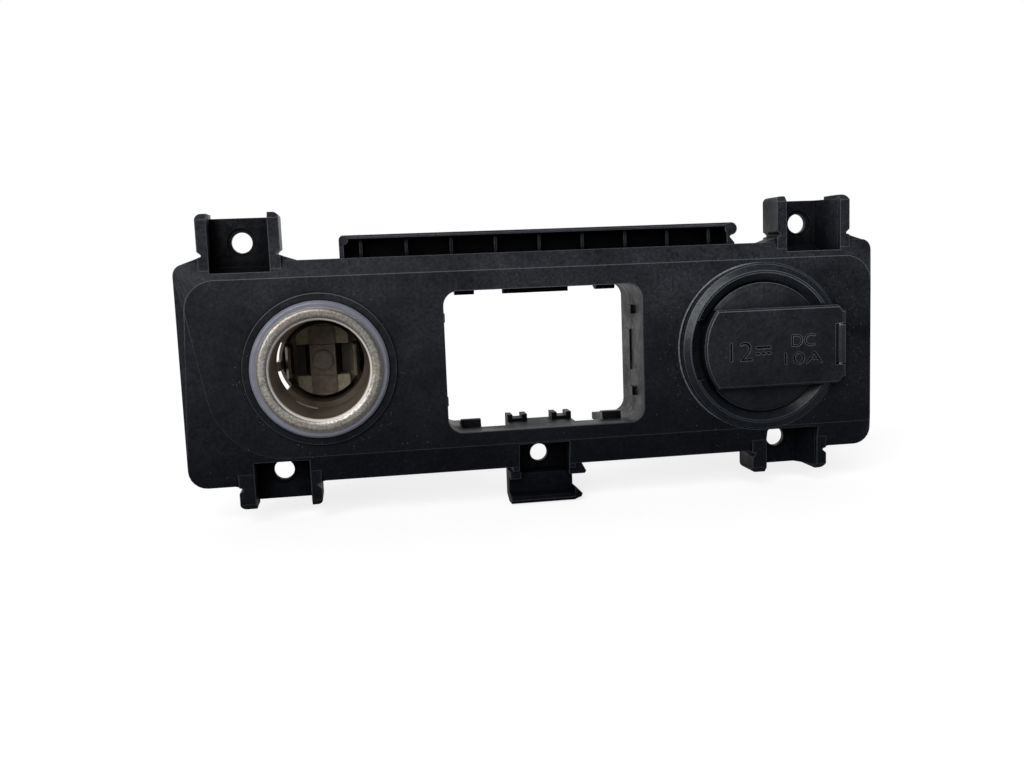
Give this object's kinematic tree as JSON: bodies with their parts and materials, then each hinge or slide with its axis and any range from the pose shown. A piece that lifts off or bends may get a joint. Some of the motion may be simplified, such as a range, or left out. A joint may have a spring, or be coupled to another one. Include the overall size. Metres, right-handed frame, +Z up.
{
  "type": "car 12v power socket panel",
  "caption": "Moulded console panel with an illuminated lighter socket, a framed module opening and a 12 V outlet under a hinged lid.",
  "frame": {"origin": "on the lighter socket's axis, in the plane of the panel's flat face", "axes": "+X to the viewer's right along the panel, +Y into the console, +Z up; the face looks towards -Y"},
  "size_m": [0.1548, 0.053, 0.0664],
  "materials": {
    "panel_plastic": "fine moulded grain, dusty",
    "lid_plastic": "satin moulded",
    "bezel_plastic": "semi-gloss moulded",
    "nickelled_steel": "worn satin nickel plate",
    "light_ring": "clear lilac-grey moulding",
    "bimetal": "heat-browned strip",
    "phenolic": "pressed phenolic",
    "rivet_steel": "dull steel",
    "brass_blade": "stamped strip",
    "tinned_blade": "tinned strip",
    "connector_brown": "moulded nylon",
    "connector_black": "moulded nylon",
    "lamp_nylon": "natural nylon",
    "bulb_glass": "clear glass",
    "pin_steel": "drawn wire"
  },
  "bodies": {
    "carrier": {"panel": "panel_plastic", "lighter_shell": "nickelled_steel", "lighter_light_ring": "light_ring", "lighter_contact_clip": "bimetal", "lighter_insulator": "phenolic", "lighter_rivet": "rivet_steel", "lighter_connector": "connector_brown", "lighter_positive_blade": "brass_blade", "lighter_ground_blade": "tinned_blade", "lamp_housing": "lamp_nylon", "lamp_bulb": "bulb_glass", "outlet_bezel": "bezel_plastic", "outlet_shell": "nickelled_steel", "outlet_contact_clip": "brass_blade", "outlet_insulator": "phenolic", "outlet_rivet": "rivet_steel", "outlet_connector": "connector_black", "outlet_positive_blade": "brass_blade", "outlet_ground_blade": "tinned_blade", "hinge_pin": "pin_steel"},
    "flap": {"lid": "lid_plastic"}
  },
  "joints": [
    {"name": "lid_hinge", "type": "hinge", "parent": "carrier", "child": "flap", "pos_m": [0.1168, -0.0016, -0.0003], "axis": [0, 0, 1], "range_deg": [0, 110]}
  ]
}
